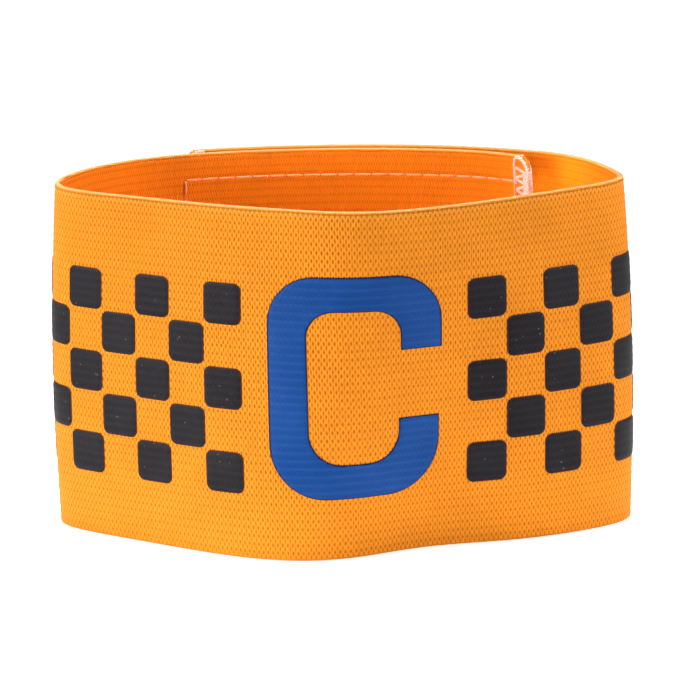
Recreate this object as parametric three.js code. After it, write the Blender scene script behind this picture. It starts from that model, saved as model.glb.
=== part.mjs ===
// Captain's armband: one strip of ribbed elastic webbing that stands on its lower edge, wrapped
// round an arm's hollow and on past its own end, where a hook patch and a loop patch sewn between
// the two layers close it. A block letter and checks of thin film lie on its outer face.
// Millimetres, +Z up. The front, with the letter, faces -Y, and the part rests on Z = 0.
// Every piece is drawn flat first, along X from the middle of the letter, with its outer face
// towards -Y, and is then wrapped.

import * as THREE from "three";
import { TessellateModifier } from "three/addons/modifiers/TessellateModifier.js";

// Elastic strip, as it is cut
const stripLength = 357;
const bandHeight = 70;
const wall = 1.3;

// Loop that the strip stands in, measured at the middle of its wall
const footWidth = 114.6;
const rimWidth = 112.8;
const loopDepth = 71;
const bulge = 1;

// Closure between the layers
const clearance = 0.3;
const patchThickness = 1.0;
const hem = 5;
const loopPatchLength = 72;
const hookPatchLength = 64;
const patchInset = 3.5;
const riseLength = 26;
const tuckDepth = 2.2;
const tuckLength = 20;

// Film on the outer face
const filmThickness = 0.4;
const letterWidth = 34.3;
const letterHeight = 44.8;
const letterDrop = 0.2;
const letterOffset = 9.5;
const stemWidth = 7.8;
const armWidth = 8.6;
const barHeight = 7.1;
const upperArm = 15.3;
const lowerArm = 15.8;
const lowerArmStep = 0.6;
const topRadius = 9.8;
const footRadius = 11;
const innerTopRadius = 5.2;
const innerFootRadius = 6.4;
const checkSize = 8.4;
const checkRadius = 1.5;
const checkDrop = 1;
const checkRows = 5;
const checkColumns = 8;
const letterToChecks = 5.5;

// Fineness of the facets
const bandStep = 2.3;
const bandLevels = 4;
const patchStep = 3;
const patchLevels = 2;
const filmStep = 4.4;
const filmRise = 22;
const filmPasses = 8;
const letterArcSteps = 4;
const checkArcSteps = 2;
const loopSteps = 1200;

// The loop in plan, counter-clockwise from the middle of the front. Each row is a pull point of a
// smooth closed curve, at the strip's foot and at its rim. X is a share of half the width there,
// and Y of half the depth.
const loopRows = [
  { place: "front", footX: 0.05, footY: -0.95, rimX: 0.05, rimY: -1.1 },
  { place: "right of the letter", footX: 0.28, footY: -0.67, rimX: 0.31, rimY: -1 },
  { place: "right flank", footX: 0.6, footY: -0.62, rimX: 0.61, rimY: -0.7 },
  { place: "right temple", footX: 0.88, footY: -0.38, rimX: 0.88, rimY: -0.39 },
  { place: "right end", footX: 1.05, footY: -0.13, rimX: 1.05, rimY: -0.15 },
  { place: "right hip", footX: 0.92, footY: 0.38, rimX: 0.92, rimY: 0.36 },
  { place: "right shoulder", footX: 0.64, footY: 0.76, rimX: 0.64, rimY: 0.72 },
  { place: "right of the back", footX: 0.32, footY: 0.94, rimX: 0.32, rimY: 0.91 },
  { place: "back", footX: 0, footY: 0.98, rimX: 0, rimY: 0.98 },
  { place: "left of the back", footX: -0.34, footY: 0.96, rimX: -0.34, rimY: 0.96 },
  { place: "left shoulder", footX: -0.68, footY: 0.78, rimX: -0.68, rimY: 0.82 },
  { place: "left hip", footX: -0.91, footY: 0.46, rimX: -0.91, rimY: 0.48 },
  { place: "left end", footX: -1.02, footY: 0.06, rimX: -1.02, rimY: 0.05 },
  { place: "left temple", footX: -0.94, footY: -0.15, rimX: -0.94, rimY: -0.22 },
  { place: "left flank", footX: -0.7, footY: -0.45, rimX: -0.7, rimY: -0.45 },
  { place: "left of the letter", footX: -0.42, footY: -0.82, rimX: -0.42, rimY: -0.76 },
  { place: "left of the front", footX: -0.17, footY: -1.01, rimX: -0.17, rimY: -0.94 },
];

const layerPitch = wall + 2 * patchThickness + 3 * clearance;

// The strip's two cut ends, along it from the middle of the letter
const innerEnd = -stripLength / 2 - letterOffset;
const outerEnd = stripLength / 2 - letterOffset;

function pullPoints(width, edge) {
  return loopRows.map(
    (row) => new THREE.Vector2((row[`${edge}X`] * width) / 2, (row[`${edge}Y`] * loopDepth) / 2),
  );
}

const footPoints = pullPoints(footWidth, "foot");
const rimPoints = pullPoints(rimWidth, "rim");

// A point on the closed uniform cubic spline through the pull of four neighbouring rows. turn runs
// from 0 to 1 once round the loop.
function splinePoint(points, turn) {
  const count = points.length;
  const place = (turn - Math.floor(turn)) * count;
  const row = Math.floor(place);
  const t = place - row;
  const pulls = [
    (1 - t) ** 3 / 6,
    (3 * t ** 3 - 6 * t ** 2 + 4) / 6,
    (-3 * t ** 3 + 3 * t ** 2 + 3 * t + 1) / 6,
    t ** 3 / 6,
  ];
  const spot = new THREE.Vector2();
  pulls.forEach((pull, k) => {
    spot.addScaledVector(points[(row + k - 1 + count) % count], pull);
  });
  return spot;
}

function loopPoint(turn, level) {
  return splinePoint(footPoints, turn).lerp(splinePoint(rimPoints, turn), level);
}

// Length round the loop at half height, after each of many small steps
function loopDistances() {
  const distances = [0];
  for (let i = 1; i <= loopSteps; i += 1) {
    const step = loopPoint(i / loopSteps, 0.5).distanceTo(loopPoint((i - 1) / loopSteps, 0.5));
    distances.push(distances[i - 1] + step);
  }
  return distances;
}

const distances = loopDistances();
const loopLength = distances[loopSteps];

// The turn at a length along the loop, which may run past either end of one round
function turnAt(along) {
  const rounds = Math.floor(along / loopLength);
  const rest = along - rounds * loopLength;
  let low = 0;
  let high = loopSteps;
  while (high - low > 1) {
    const middle = (low + high) >> 1;
    if (distances[middle] <= rest) {
      low = middle;
    } else {
      high = middle;
    }
  }
  const share = (rest - distances[low]) / (distances[high] - distances[low]);
  return rounds + (low + share) / loopSteps;
}

// How far the strip's middle stands outside the loop: its inner end is tucked in, and its outer
// end has risen by one layer before it passes the inner end.
function layerOffset(along) {
  const pastInnerEnd = along - innerEnd;
  if (pastInnerEnd < tuckLength) {
    return -tuckDepth * (1 - pastInnerEnd / tuckLength) ** 2;
  }
  const riseEnd = loopLength + innerEnd - clearance;
  return layerPitch * THREE.MathUtils.smoothstep(along, riseEnd - riseLength, riseEnd);
}

// Where a point of the flat strip goes: along it, out from the middle of its wall, and up
function wrapPoint(along, out, up) {
  const level = up / bandHeight;
  const turn = turnAt(along);
  const nearby = 0.5 / loopSteps;
  const spot = loopPoint(turn, level);
  const way = loopPoint(turn + nearby, level).sub(loopPoint(turn - nearby, level)).normalize();
  const reach = out + layerOffset(along) + 4 * bulge * level * (1 - level);
  return new THREE.Vector3(spot.x + way.y * reach, spot.y - way.x * reach, up);
}

function wrap(geometry) {
  const corners = geometry.getAttribute("position");
  for (let i = 0; i < corners.count; i += 1) {
    const corner = wrapPoint(corners.getX(i), -corners.getY(i), corners.getZ(i));
    corners.setXYZ(i, corner.x, corner.y, corner.z);
  }
  geometry.computeVertexNormals();
  return geometry;
}

// A flat length of cloth from start to end, its wall's middle at out
function clothGeometry(start, end, foot, height, thickness, out, step, levels) {
  const length = end - start;
  const steps = Math.max(1, Math.round(length / step));
  const geometry = new THREE.BoxGeometry(length, thickness, height, steps, 1, levels);
  return geometry.translate((start + end) / 2, -out, foot + height / 2);
}

function bandMesh() {
  const geometry = clothGeometry(
    innerEnd,
    outerEnd,
    0,
    bandHeight,
    wall,
    0,
    bandStep,
    bandLevels,
  );
  const elastic = new THREE.MeshStandardMaterial({ color: 0xf2962e, roughness: 0.85 });
  return namedMesh("elastic_band", wrap(geometry), elastic);
}

// A patch of the closure, on the strip's outer face for side 1 and on its inner face for side -1
function patchMesh(name, start, length, side, material) {
  const out = side * (wall / 2 + clearance + patchThickness / 2);
  const height = bandHeight - 2 * hem;
  const geometry = clothGeometry(
    start,
    start + length,
    hem,
    height,
    patchThickness,
    out,
    patchStep,
    patchLevels,
  );
  return namedMesh(name, wrap(geometry), material);
}

// A film from a flat outline that is drawn along the strip and up it. Its facets are no longer than
// filmStep along the strip, which bends most, and filmRise up it, so it is squeezed upwards while
// it is divided.
function filmGeometry(shape, arcSteps) {
  const squeeze = filmStep / filmRise;
  const flat = new THREE.ExtrudeGeometry(shape, {
    depth: filmThickness,
    bevelEnabled: false,
    curveSegments: arcSteps,
  });
  flat.scale(1, squeeze, 1);
  const divided = new TessellateModifier(filmStep, filmPasses).modify(flat);
  divided.scale(1, 1 / squeeze, 1).rotateX(Math.PI / 2);
  return wrap(divided.translate(0, -(wall / 2 + clearance), 0));
}

// The letter's outline, its foot at the height low on the strip. Its corners are centres of arcs.
function letterShape(low) {
  const left = -letterWidth / 2;
  const right = letterWidth / 2;
  const lowerRight = right - lowerArmStep;
  const openingLeft = left + stemWidth;
  const openingRight = right - armWidth;
  const lowerOpening = lowerRight - armWidth;
  const top = low + letterHeight;
  const topCentre = top - topRadius;
  const footCentre = low + footRadius;
  const innerTopCentre = top - barHeight - innerTopRadius;
  const innerFootCentre = low + barHeight + innerFootRadius;
  const outsideCorners = [
    { x: right - topRadius, y: topCentre, radius: topRadius, quarter: 0 },
    { x: left + topRadius, y: topCentre, radius: topRadius, quarter: 1 },
    { x: left + footRadius, y: footCentre, radius: footRadius, quarter: 2 },
    { x: lowerRight - footRadius, y: footCentre, radius: footRadius, quarter: 3 },
  ];
  const insideCorners = [
    { x: lowerOpening - innerFootRadius, y: innerFootCentre, radius: innerFootRadius, quarter: 4 },
    { x: openingLeft + innerFootRadius, y: innerFootCentre, radius: innerFootRadius, quarter: 3 },
    { x: openingLeft + innerTopRadius, y: innerTopCentre, radius: innerTopRadius, quarter: 2 },
    { x: openingRight - innerTopRadius, y: innerTopCentre, radius: innerTopRadius, quarter: 1 },
  ];
  const turn = Math.PI / 2;
  const shape = new THREE.Shape();
  shape.moveTo(openingRight, top - upperArm);
  shape.lineTo(right, top - upperArm);
  for (const { x, y, radius, quarter } of outsideCorners) {
    shape.absarc(x, y, radius, quarter * turn, (quarter + 1) * turn, false);
  }
  shape.lineTo(lowerRight, low + lowerArm);
  shape.lineTo(lowerOpening, low + lowerArm);
  for (const { x, y, radius, quarter } of insideCorners) {
    shape.absarc(x, y, radius, quarter * turn, (quarter - 1) * turn, true);
  }
  shape.closePath();
  return shape;
}

// A check with rounded corners, its lower left corner's square at (left, low)
function checkShape(left, low) {
  const near = checkRadius;
  const far = checkSize - checkRadius;
  const centres = [
    { x: far, y: far },
    { x: near, y: far },
    { x: near, y: near },
    { x: far, y: near },
  ];
  const shape = new THREE.Shape();
  shape.moveTo(left + checkSize, low + near);
  shape.lineTo(left + checkSize, low + far);
  centres.forEach(({ x, y }, quarter) => {
    const start = (quarter * Math.PI) / 2;
    shape.absarc(left + x, low + y, checkRadius, start, start + Math.PI / 2, false);
  });
  return shape;
}

function letterMesh() {
  const shape = letterShape((bandHeight - letterHeight) / 2 - letterDrop);
  const blueFilm = new THREE.MeshStandardMaterial({ color: 0x2a5ca8, roughness: 0.5 });
  return namedMesh("captain_letter", filmGeometry(shape, letterArcSteps), blueFilm);
}

// Checks on one side of the letter, in columns that start beside it and run round the arm
function checkMeshes(sideName, direction) {
  const blackFilm = new THREE.MeshStandardMaterial({ color: 0x38322e, roughness: 0.45 });
  const foot = (bandHeight - checkRows * checkSize) / 2 - checkDrop;
  const start = letterWidth / 2 + letterToChecks;
  const meshes = [];
  for (let column = 0; column < checkColumns; column += 1) {
    const middle = direction * (start + (column + 0.5) * checkSize);
    for (let row = column % 2; row < checkRows; row += 2) {
      const shape = checkShape(middle - checkSize / 2, foot + row * checkSize);
      const name = `check_${sideName}_${column + 1}_${row + 1}`;
      meshes.push(namedMesh(name, filmGeometry(shape, checkArcSteps), blackFilm));
    }
  }
  return meshes;
}

function namedMesh(name, geometry, material) {
  const mesh = new THREE.Mesh(geometry, material);
  mesh.name = name;
  return mesh;
}

function closureGroup() {
  const loopPile = new THREE.MeshStandardMaterial({ color: 0xe08a34, roughness: 1 });
  const hookTape = new THREE.MeshStandardMaterial({ color: 0xd98a3c, roughness: 0.7 });
  const hookStart = outerEnd - patchInset - hookPatchLength;
  const closure = new THREE.Group();
  closure.add(
    patchMesh("loop_patch", innerEnd + patchInset, loopPatchLength, 1, loopPile),
    patchMesh("hook_patch", hookStart, hookPatchLength, -1, hookTape),
  );
  return closure;
}

function markingsGroup() {
  const markings = new THREE.Group();
  markings.add(letterMesh(), ...checkMeshes("left", -1), ...checkMeshes("right", 1));
  return markings;
}

const armband = new THREE.Group();
armband.add(bandMesh(), closureGroup(), markingsGroup());
const boxCentre = new THREE.Box3().setFromObject(armband).getCenter(new THREE.Vector3());
armband.position.set(-boxCentre.x, -boxCentre.y, 0);

export default armband;
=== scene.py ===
"""A captain's armband: ribbed elastic webbing wrapped into a loop, with sewn ends and film marks.

Every piece is drawn flat first, with x along the strip, y into its wall and z up it, and is then
wrapped. A reach out of the strip, from the middle of its wall, is therefore -y while it is flat.
"""

import math

import bmesh
import bpy
import numpy as np
from mathutils import Matrix, Vector


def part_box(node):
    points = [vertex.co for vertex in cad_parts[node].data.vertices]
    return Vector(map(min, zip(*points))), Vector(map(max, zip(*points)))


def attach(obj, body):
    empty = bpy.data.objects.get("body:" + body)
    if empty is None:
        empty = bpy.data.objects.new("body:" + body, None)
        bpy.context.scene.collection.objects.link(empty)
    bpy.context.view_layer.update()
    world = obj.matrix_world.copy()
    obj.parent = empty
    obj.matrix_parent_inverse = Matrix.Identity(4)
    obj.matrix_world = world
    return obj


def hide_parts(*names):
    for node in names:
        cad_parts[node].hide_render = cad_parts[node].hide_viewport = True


bl_info = {
    "name": "Captain Armband",
    "version": (1, 0, 0),
    "blender": (4, 5, 0),
    "location": "3D View > Sidebar > Armband",
    "description": "Builds the webbing, films, sewing and stage of a captain's armband",
    "category": "Add Mesh",
}

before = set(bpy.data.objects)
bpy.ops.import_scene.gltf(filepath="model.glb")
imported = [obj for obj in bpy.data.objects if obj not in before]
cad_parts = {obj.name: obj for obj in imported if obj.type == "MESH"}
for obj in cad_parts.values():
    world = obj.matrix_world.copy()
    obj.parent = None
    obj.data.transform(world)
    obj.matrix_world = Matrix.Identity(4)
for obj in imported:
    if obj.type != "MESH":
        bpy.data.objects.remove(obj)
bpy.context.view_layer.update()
band_low, band_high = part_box("elastic_band")

MM = 0.001

# How finely the loop is measured, and how finely each rib is faceted
LOOP_STEPS = 1200
FACETS_A_RIB = 4

# The map and the marks that the meshes carry
STRIP_MAP = "strip"
EDGE_MARK = "edge"
LIFT_MARK = "lift"
INNER_MARK = "inner face"

# The loop in plan, counter-clockwise from the middle of the front. Each row is a pull point of a
# smooth closed curve, at the strip's foot and at its rim. x is a share of half the width there,
# and y of half the depth.
LOOP_ROWS = (
    {"place": "front", "foot_x": 0.05, "foot_y": -0.95, "rim_x": 0.05, "rim_y": -1.1},
    {"place": "right of letter", "foot_x": 0.28, "foot_y": -0.67, "rim_x": 0.31, "rim_y": -1},
    {"place": "right flank", "foot_x": 0.6, "foot_y": -0.62, "rim_x": 0.61, "rim_y": -0.7},
    {"place": "right temple", "foot_x": 0.88, "foot_y": -0.38, "rim_x": 0.88, "rim_y": -0.39},
    {"place": "right end", "foot_x": 1.05, "foot_y": -0.13, "rim_x": 1.05, "rim_y": -0.15},
    {"place": "right hip", "foot_x": 0.92, "foot_y": 0.38, "rim_x": 0.92, "rim_y": 0.36},
    {"place": "right shoulder", "foot_x": 0.64, "foot_y": 0.76, "rim_x": 0.64, "rim_y": 0.72},
    {"place": "right of back", "foot_x": 0.32, "foot_y": 0.94, "rim_x": 0.32, "rim_y": 0.91},
    {"place": "back", "foot_x": 0, "foot_y": 0.98, "rim_x": 0, "rim_y": 0.98},
    {"place": "left of back", "foot_x": -0.34, "foot_y": 0.96, "rim_x": -0.34, "rim_y": 0.96},
    {"place": "left shoulder", "foot_x": -0.68, "foot_y": 0.78, "rim_x": -0.68, "rim_y": 0.82},
    {"place": "left hip", "foot_x": -0.91, "foot_y": 0.46, "rim_x": -0.91, "rim_y": 0.48},
    {"place": "left end", "foot_x": -1.02, "foot_y": 0.06, "rim_x": -1.02, "rim_y": 0.05},
    {"place": "left temple", "foot_x": -0.94, "foot_y": -0.15, "rim_x": -0.94, "rim_y": -0.22},
    {"place": "left flank", "foot_x": -0.7, "foot_y": -0.45, "rim_x": -0.7, "rim_y": -0.45},
    {"place": "left of letter", "foot_x": -0.42, "foot_y": -0.82, "rim_x": -0.42, "rim_y": -0.76},
    {"place": "left of front", "foot_x": -0.17, "foot_y": -1.01, "rim_x": -0.17, "rim_y": -0.94},
)

# What is looked at and shone at: the armband's middle, and the face beside the inner cut end
MIDDLE = (-0.34 * MM, 7.44 * MM, 35 * MM)
BESIDE_INNER_END = (44 * MM, 21.5 * MM, 62 * MM)

# Lights round the armband: where each stands, what it shines at, how wide it is, how far its beam
# opens in degrees and how strong it is in watts
LIGHTS = (
    {
        "name": "window",
        "place": (-1.8, -0.6, 0.35),
        "target": MIDDLE,
        "size": 1.2,
        "spread": 180,
        "power": 92.0,
    },
    {
        "name": "fill",
        "place": (1.8, -0.45, 0.35),
        "target": MIDDLE,
        "size": 1.4,
        "spread": 180,
        "power": 60.5,
    },
    {
        "name": "top",
        "place": (0.0, 0.0, 1.3),
        "target": MIDDLE,
        "size": 0.2,
        "spread": 16,
        "power": 0.5,
    },
    {
        "name": "beam",
        "place": (0.2, -1.1, 0.62),
        "target": BESIDE_INNER_END,
        "size": 0.012,
        "spread": 0.4,
        "power": 0.0011,
    },
)


def distance(name, description, default_mm):
    """A length property. Its default is given in millimetres and kept in metres."""
    return bpy.props.FloatProperty(
        name=name,
        description=description,
        default=default_mm * MM,
        min=0.0,
        precision=5,
        subtype="DISTANCE",
        unit="LENGTH",
    )


def colour(name, description, default):
    """A colour property, in linear light."""
    return bpy.props.FloatVectorProperty(
        name=name,
        description=description,
        default=default,
        min=0.0,
        max=1.0,
        size=3,
        subtype="COLOR",
    )


class ArmbandStrip(bpy.types.PropertyGroup):
    """Sizes of the webbing strip and of the loop that it stands in"""

    strip_length: distance("Strip length", "Length of the webbing as it is cut", 357)
    letter_offset: distance("Letter offset", "From the strip's middle to the letter's", 9.5)
    height: distance("Height", "Height of the webbing, rim to rim", band_high.z / MM)
    wall: distance("Wall", "Thickness of the webbing", 1.3)
    foot_width: distance("Foot width", "Width of the loop at its lower edge", 114.6)
    rim_width: distance("Rim width", "Width of the loop at its upper edge", 112.8)
    loop_depth: distance("Loop depth", "Depth of the loop, front to back", 71)
    bulge: distance("Bulge", "How far the wall swells out at half height", 1)
    rise_length: distance("Rise length", "Stretch over which the outer layer rises", 26)
    tuck_depth: distance("Tuck depth", "How far the inner end is tucked in", 2.2)
    tuck_length: distance("Tuck length", "Stretch over which the inner end is tucked in", 20)
    corner: distance("Corner", "Radius of the cut ends' corners", 2.4)


class ArmbandKnit(bpy.types.PropertyGroup):
    """Sizes and colours of the knit"""

    ribs: bpy.props.IntProperty(
        name="Ribs", description="Ribs between the two rims", default=43, min=4
    )
    rib_depth: distance("Rib depth", "Height of a rib over the groove beside it", 0.06)
    wale: distance("Wale", "Distance between two gaps of a row of the knit", 1.0)
    inner_wale: distance("Inner wale", "The same on the inner face", 0.55)
    column_step: distance("Column step", "Length of a facet along the webbing", 1.34)
    bead: distance("Bead", "Half the width of the yarn that closes a rim", 0.52)
    bead_rise: distance("Bead rise", "Half the height of the yarn that closes a rim", 0.25)
    bead_pitch: distance("Bead pitch", "Distance between two turns of that yarn", 0.5)
    yarn: colour("Yarn", "Colour of the outer face's yarn", (0.5, 0.166, 0.006))
    # Painted light: the inner face's yarn is a deeper, brighter orange than the outer face's,
    # standing in for the light bounced between the loop's orange walls
    inner_bounce_yarn: colour("Inner yarn", "Colour of the inner face's yarn", (0.78, 0.185, 0.001))
    # Painted shade in the gaps and in the valleys between the yarns
    gap: colour("Gap", "Tint of the gaps between yarns", (0.75, 0.53, 0.14))
    # Painted shade in the slots below the rim
    slot: colour("Slot", "Tint of the slots beside the rim", (0.42, 0.42, 0.42))
    arch: colour("Arch", "Colour of the loops below the rim", (0.56, 0.225, 0.025))
    rim: colour("Rim", "Colour of the yarn along the rim", (0.46, 0.235, 0.085))


class ArmbandClosure(bpy.types.PropertyGroup):
    """Sizes and colours of the hook and loop patches"""

    clearance: distance("Clearance", "Gap that the closure's layers keep", 0.3)
    thickness: distance("Patch thickness", "Thickness of the hook and loop patches", 1.0)
    hem: distance("Hem", "Height of webbing left free above and below a patch", 5)
    loop_length: distance("Loop patch length", "Length of the patch of loops", 72)
    hook_length: distance("Hook patch length", "Length of the patch of hooks", 64)
    inset: distance("Inset", "From a cut end to the patch beside it", 3.5)
    facet: distance("Facet", "Length of a facet of the patches", 0.7)
    pile: colour("Pile", "Colour of the loops", (0.87, 0.3, 0.03))
    hooks: colour("Hooks", "Colour of the hooks", (0.8, 0.31, 0.05))


class ArmbandFilm(bpy.types.PropertyGroup):
    """Sizes and colours of the films"""

    thickness: distance("Film thickness", "Thickness of the film over the ribs", 0.2)
    border: distance("Border", "Width of the film's pressed edge", 0.38)
    tooth: distance("Tooth", "How far the knit bites into the film's upper edges", 0.28)
    outline_step: distance("Outline step", "Length of a facet of the outline", 0.2)
    letter_width: distance("Letter width", "Width of the rank letter", 34.3)
    letter_height: distance("Letter height", "Height of the rank letter", 44.8)
    letter_drop: distance("Letter drop", "Letter's middle below the band's", 0.2)
    stem: distance("Stem", "Width of the letter's upright", 7.8)
    arm: distance("Arm", "Width of the letter's arms", 8.6)
    bar: distance("Bar", "Height of the letter's bars", 7.1)
    upper_arm: distance("Upper arm", "Height of the letter's upper arm", 15.3)
    lower_arm: distance("Lower arm", "Height of the letter's lower arm", 15.8)
    lower_arm_step: distance("Lower arm step", "How far short the lower arm ends", 0.6)
    top_radius: distance("Top radius", "Radius of the letter's upper corners", 9.8)
    foot_radius: distance("Foot radius", "Radius of the letter's lower corners", 11)
    inner_top_radius: distance("Inner top radius", "Radius inside its upper corners", 5.2)
    inner_foot_radius: distance("Inner foot radius", "Radius inside its lower corners", 6.4)
    check: distance("Check", "Side of a check", 8.4)
    check_radius: distance("Check radius", "Radius of a check's corners", 1.5)
    check_drop: distance("Check drop", "Middle of the checks below the band's", 1)
    check_space: distance("Check space", "From the letter to the first check", 5.5)
    blue: colour("Blue", "Colour of the letter's film", (0.002, 0.036, 0.16))
    # Painted shade along the blue film's edge, where it meets the knit
    blue_edge_shade: colour("Blue edge", "Colour of its cut edge", (0.004, 0.005, 0.02))
    black: colour("Black", "Colour of the checks' film", (0.005, 0.004, 0.006))
    # Painted shade along the black film's edge, where it meets the knit
    black_edge_shade: colour("Black edge", "Colour of its cut edge", (0.03, 0.008, 0.005))


class ArmbandSewing(bpy.types.PropertyGroup):
    """Sizes and colours of the sewing"""

    thread: distance("Thread", "Radius of the sewing thread", 0.24)
    lay: distance("Lay", "Length of one turn of the thread's plies", 1.1)
    pitch: distance("Pitch", "From one stitch to the next", 3.5)
    stitch: distance("Stitch", "Length of a stitch that shows", 3.42)
    inset: distance("Inset", "From a patch's edge to its sewing", 0.5)
    zigzag_pitch: distance("Zigzag pitch", "Height of one zigzag of an end's binding", 2.4)
    zigzag_width: distance("Zigzag width", "Width of an end's binding", 3.5)
    link: distance("Link", "Length of a link of the binding's chains", 1.3)
    cut_gap: distance("Cut gap", "From a cut end to the outer column of its binding", 0.15)
    binding_hem: distance("Binding hem", "Webbing left free above and below a binding", 0.3)
    # Partly painted light: the seam thread is given a salmon cast for the light bounced onto it
    # from the orange webbing
    seam: colour("Seam", "Colour of the thread that holds the patches", (0.78, 0.29, 0.12))
    pink: colour("Pink", "Colour of the thread that binds the cut ends", (0.86, 0.44, 0.36))


class ArmbandStage(bpy.types.PropertyGroup):
    """Camera, light and floor"""

    look_at: bpy.props.FloatVectorProperty(
        name="Look at",
        description="Point at the middle of the picture",
        default=MIDDLE,
        size=3,
        precision=5,
        subtype="TRANSLATION",
        unit="LENGTH",
    )
    camera_distance: distance("Camera distance", "From the camera to that point", 1085)
    elevation: bpy.props.FloatProperty(
        name="Elevation",
        description="How far the camera looks down",
        default=math.radians(12),
        subtype="ANGLE",
        unit="ROTATION",
    )
    roll: bpy.props.FloatProperty(
        name="Roll",
        description="How far the camera leans to its right",
        default=math.radians(1.15),
        subtype="ANGLE",
        unit="ROTATION",
    )
    lens: bpy.props.FloatProperty(
        name="Lens",
        description="Focal length in millimetres, on a sensor 36 mm wide",
        default=283.3,
        min=1.0,
    )
    surroundings: bpy.props.FloatProperty(
        name="Surroundings",
        description="Strength of the light from all round",
        default=0.24,
        min=0.0,
    )
    floor: colour("Floor", "Colour of the floor", (0.85, 0.85, 0.85))
    floor_glow: bpy.props.FloatProperty(
        name="Floor glow",
        description="Strength of the light that comes up through the floor",
        default=0.5,
        min=0.0,
    )


def spline_points(pulls, turn):
    """Points on the closed uniform cubic spline through the pull of four neighbouring rows."""
    count = len(pulls)
    place = (turn % 1.0) * count
    row = np.floor(place).astype(int)
    t = (place - row)[:, None]
    weights = (
        (1 - t) ** 3 / 6,
        (3 * t**3 - 6 * t**2 + 4) / 6,
        (-3 * t**3 + 3 * t**2 + 3 * t + 1) / 6,
        t**3 / 6,
    )
    return sum(weight * pulls[(row + k - 1) % count] for k, weight in enumerate(weights))


def smooth_step(value, low, high):
    """A smooth step from 0 at low to 1 at high."""
    share = np.clip((value - low) / (high - low), 0, 1)
    return share * share * (3 - 2 * share)


def cut_ends(strip):
    """The inner and the outer cut end, along the strip from the middle of the letter."""
    half = strip.strip_length / 2
    return -half - strip.letter_offset, half - strip.letter_offset


class Wrap:
    """The loop that the strip stands in, and the way of its flat points into that loop."""

    def __init__(self, strip, closure):
        self.strip = strip
        self.pitch = strip.wall + 2 * closure.thickness + 3 * closure.clearance
        self.clearance = closure.clearance
        self.inner_end, self.outer_end = cut_ends(strip)
        self.foot = self.pull_points(strip.foot_width, "foot")
        self.rim = self.pull_points(strip.rim_width, "rim")
        self.turns = np.linspace(0, 1, LOOP_STEPS + 1)
        middle = self.loop_points(self.turns, np.full(LOOP_STEPS + 1, 0.5))
        steps = np.linalg.norm(np.diff(middle, axis=0), axis=1)
        self.distances = np.concatenate(([0.0], np.cumsum(steps)))
        self.length = self.distances[-1]
        self.shift = np.zeros(2)
        self.shift = self.shift_to_frame()

    def pull_points(self, width, edge):
        """The rows' places at the foot or the rim, whose full width is given."""
        depth = self.strip.loop_depth
        rows = [
            (row[f"{edge}_x"] * width / 2, row[f"{edge}_y"] * depth / 2) for row in LOOP_ROWS
        ]
        return np.array(rows)

    def loop_points(self, turn, level):
        """Places on the loop at shares of its way round and of its height."""
        foot = spline_points(self.foot, turn)
        rim = spline_points(self.rim, turn)
        return foot + (rim - foot) * level[:, None]

    def turn_at(self, along):
        """Shares of the way round that lie at distances along it."""
        rounds = np.floor(along / self.length)
        rest = along - rounds * self.length
        return rounds + np.interp(rest, self.distances, self.turns)

    def layer_offset(self, along):
        """How far the strip's middle stands outside the loop, tucked in at its inner end."""
        strip = self.strip
        past_inner_end = along - self.inner_end
        tucked = np.clip(1 - past_inner_end / strip.tuck_length, 0, None)
        rise_end = self.length + self.inner_end - self.clearance
        risen = smooth_step(along, rise_end - strip.rise_length, rise_end)
        return self.pitch * risen - strip.tuck_depth * tucked**2

    def shift_to_frame(self):
        """What brings the loop to where the frame holds it."""
        strip = self.strip
        along = np.linspace(self.inner_end, self.outer_end, LOOP_STEPS)
        levels = np.linspace(0, strip.height, 5)
        sides = (-strip.wall / 2, strip.wall / 2)
        flat = np.array([(a, side, up) for a in along for side in sides for up in levels])
        points = self.wrap(flat)[:, :2]
        middle = (points.min(axis=0) + points.max(axis=0)) / 2
        held = (band_low.xy + band_high.xy) / 2
        return np.array(held) - middle

    def wrap(self, flat):
        """Where points of the flat strip go."""
        along, out, up = flat[:, 0], -flat[:, 1], flat[:, 2]
        level = up / self.strip.height
        turn = self.turn_at(along)
        nearby = 0.5 / LOOP_STEPS
        spot = self.loop_points(turn, level)
        way = self.loop_points(turn + nearby, level) - self.loop_points(turn - nearby, level)
        way /= np.linalg.norm(way, axis=1)[:, None]
        swell = 4 * self.strip.bulge * level * (1 - level)
        reach = out + self.layer_offset(along) + swell
        x = spot[:, 0] + way[:, 1] * reach + self.shift[0]
        y = spot[:, 1] - way[:, 0] * reach + self.shift[1]
        return np.column_stack((x, y, up))


def rib_height(up, strip, knit):
    """Relief of the ribs at a height on the strip, over the middle of its relief."""
    pitch = strip.height / knit.ribs
    return 0.5 * knit.rib_depth * np.cos(2 * math.pi * (up - strip.height / 2) / pitch)


def cut_back(along, up, strip):
    """Along the strip, drawn back from its cut ends where their corners are rounded."""
    from_middle = along + strip.letter_offset
    half = strip.strip_length / 2
    near_rim = np.clip(strip.corner - np.minimum(up, strip.height - up), 0, strip.corner)
    recess = strip.corner - np.sqrt(strip.corner**2 - near_rim**2)
    fade = smooth_step(np.abs(from_middle), half - 3 * strip.corner, half)
    return along - np.sign(from_middle) * recess * fade


def read_points(mesh):
    """The places of a mesh's points, one row for each."""
    points = np.empty(len(mesh.vertices) * 3, np.float32)
    mesh.vertices.foreach_get("co", points)
    return points.reshape(-1, 3).astype(float)


def write_points(mesh, points):
    """Moves a mesh's points, one row for each."""
    mesh.vertices.foreach_set("co", points.astype(np.float32).ravel())
    mesh.update()


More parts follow.
